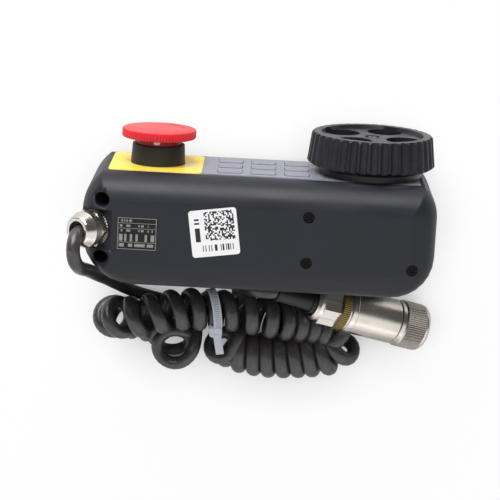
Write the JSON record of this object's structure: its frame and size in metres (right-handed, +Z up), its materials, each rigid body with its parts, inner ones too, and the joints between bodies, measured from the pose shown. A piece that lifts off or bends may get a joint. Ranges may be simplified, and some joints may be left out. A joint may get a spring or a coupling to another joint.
{
  "type": "pulse generator handwheel",
  "caption": "Hand-held machine control with a fluted handwheel, a red stop button, a foil keypad and a curly cord with a round metal plug.",
  "frame": {"origin": "centre of the flat side that the case lies on", "axes": "+X along the case from the cord gland to the handwheel, +Y out of the front panel along the handwheel's axis, +Z up, towards the side with the case screws"},
  "size_m": [0.1997, 0.1476, 0.0996],
  "materials": {
    "case_plastic": "fine grain moulded dark grey",
    "black_steel": "black oxide",
    "brass": "turned",
    "grey_plate": "grey",
    "yellow_foil": "printed foil",
    "grey_foil": "printed foil",
    "white_plastic": "moulded",
    "board": "solder mask",
    "steel": "ground",
    "red_plastic": "moulded",
    "dark_red_plastic": "moulded",
    "black_plastic": "moulded",
    "rubber": "moulded",
    "wheel_plastic": "moulded dark grey",
    "aluminium": "turned",
    "clear_disc": "clear",
    "nickel": "nickel plated",
    "cord_jacket": "smooth satin",
    "tie_plastic": "translucent white",
    "old_brass": "dull",
    "plug_metal": "nickel plated, satin"
  },
  "bodies": {
    "base": {"label_side_shell": "case_plastic", "far_side_shell": "case_plastic", "case_screws": "black_steel", "thread_inserts": "brass", "front_plate": "grey_plate", "stop_foil": "yellow_foil", "keypad_foil": "grey_foil", "keypad_spacer": "white_plastic", "keypad_board": "board", "key_domes": "steel", "stop_spring": "steel", "stop_collar": "black_plastic", "stop_seal": "rubber", "stop_lock_nut": "black_plastic", "contact_blocks": "white_plastic", "wheel_base_disc": "wheel_plastic", "bearing_outer_rings": "steel", "encoder_flange": "aluminium", "encoder_housing": "aluminium", "encoder_screws": "steel", "scanning_reticle": "clear_disc", "light_unit": "black_plastic", "detector_board": "board", "main_board": "board", "board_connectors": "white_plastic", "gland_body": "nickel", "gland_dome_nut": "nickel", "gland_washer": "nickel", "gland_seal": "rubber", "gland_locknut": "nickel", "cord_case_end": "cord_jacket", "coil_left_turn": "cord_jacket", "coil_upper_row": "cord_jacket", "coil_lower_row": "cord_jacket", "cord_plug_end": "cord_jacket", "cable_tie": "tie_plastic", "plug_boot": "rubber", "plug_nut": "nickel", "plug_brass_ring": "old_brass", "plug_adapter": "nickel", "plug_body": "plug_metal", "plug_insert": "black_plastic"},
    "wheel": {"handwheel": "wheel_plastic", "wheel_screw": "black_steel", "drive_shaft": "steel", "bearing_inner_rings": "steel", "code_disc": "clear_disc"},
    "stop_rod": {"stop_shaft": "black_plastic"},
    "stop_head": {"stop_cap": "red_plastic", "stop_neck": "dark_red_plastic"},
    "coupling": {"plug_coupling_ring": "plug_metal"},
    "axis_key_1": {"axis_key_1": "grey_foil"},
    "axis_key_2": {"axis_key_2": "grey_foil"},
    "axis_key_3": {"axis_key_3": "grey_foil"},
    "feed_key_1": {"feed_key_1": "grey_foil"},
    "feed_key_2": {"feed_key_2": "grey_foil"},
    "feed_key_3": {"feed_key_3": "grey_foil"},
    "jog_minus_key": {"jog_minus_key": "grey_foil"},
    "rapid_key": {"rapid_key": "grey_foil"},
    "jog_plus_key": {"jog_plus_key": "grey_foil"}
  },
  "joints": [
    {"name": "handwheel_spin", "type": "hinge", "parent": "base", "child": "wheel", "pos_m": [0.0585, 0.0305, 0.042], "axis": [0, 1, 0], "continuous": true},
    {"name": "stop_press", "type": "slide", "parent": "base", "child": "stop_rod", "axis": [0, -1, 0], "range_m": [0, 0.004], "stiffness_N_per_m": 900, "springref_m": -0.002},
    {"name": "stop_twist", "type": "hinge", "parent": "stop_rod", "child": "stop_head", "pos_m": [-0.0565, 0.0305, 0.042], "axis": [0, 1, 0], "range_deg": [0, 45], "stiffness_Nm_per_rad": 0.05},
    {"name": "coupling_turn", "type": "hinge", "parent": "base", "child": "coupling", "pos_m": [0.0938, -0.0616, 0.0132], "axis": [-0.901, 0.2669, 0.342], "continuous": true},
    {"name": "axis_key_1_press", "type": "slide", "parent": "base", "child": "axis_key_1", "axis": [0, -1, 0], "range_m": [0, 0.0004], "stiffness_N_per_m": 1500, "springref_m": -0.0003},
    {"name": "axis_key_2_press", "type": "slide", "parent": "base", "child": "axis_key_2", "axis": [0, -1, 0], "range_m": [0, 0.0004], "stiffness_N_per_m": 1500, "springref_m": -0.0003},
    {"name": "axis_key_3_press", "type": "slide", "parent": "base", "child": "axis_key_3", "axis": [0, -1, 0], "range_m": [0, 0.0004], "stiffness_N_per_m": 1500, "springref_m": -0.0003},
    {"name": "feed_key_1_press", "type": "slide", "parent": "base", "child": "feed_key_1", "axis": [0, -1, 0], "range_m": [0, 0.0004], "stiffness_N_per_m": 1500, "springref_m": -0.0003},
    {"name": "feed_key_2_press", "type": "slide", "parent": "base", "child": "feed_key_2", "axis": [0, -1, 0], "range_m": [0, 0.0004], "stiffness_N_per_m": 1500, "springref_m": -0.0003},
    {"name": "feed_key_3_press", "type": "slide", "parent": "base", "child": "feed_key_3", "axis": [0, -1, 0], "range_m": [0, 0.0004], "stiffness_N_per_m": 1500, "springref_m": -0.0003},
    {"name": "jog_minus_key_press", "type": "slide", "parent": "base", "child": "jog_minus_key", "axis": [0, -1, 0], "range_m": [0, 0.0004], "stiffness_N_per_m": 1500, "springref_m": -0.0003},
    {"name": "rapid_key_press", "type": "slide", "parent": "base", "child": "rapid_key", "axis": [0, -1, 0], "range_m": [0, 0.0004], "stiffness_N_per_m": 1500, "springref_m": -0.0003},
    {"name": "jog_plus_key_press", "type": "slide", "parent": "base", "child": "jog_plus_key", "axis": [0, -1, 0], "range_m": [0, 0.0004], "stiffness_N_per_m": 1500, "springref_m": -0.0003}
  ]
}
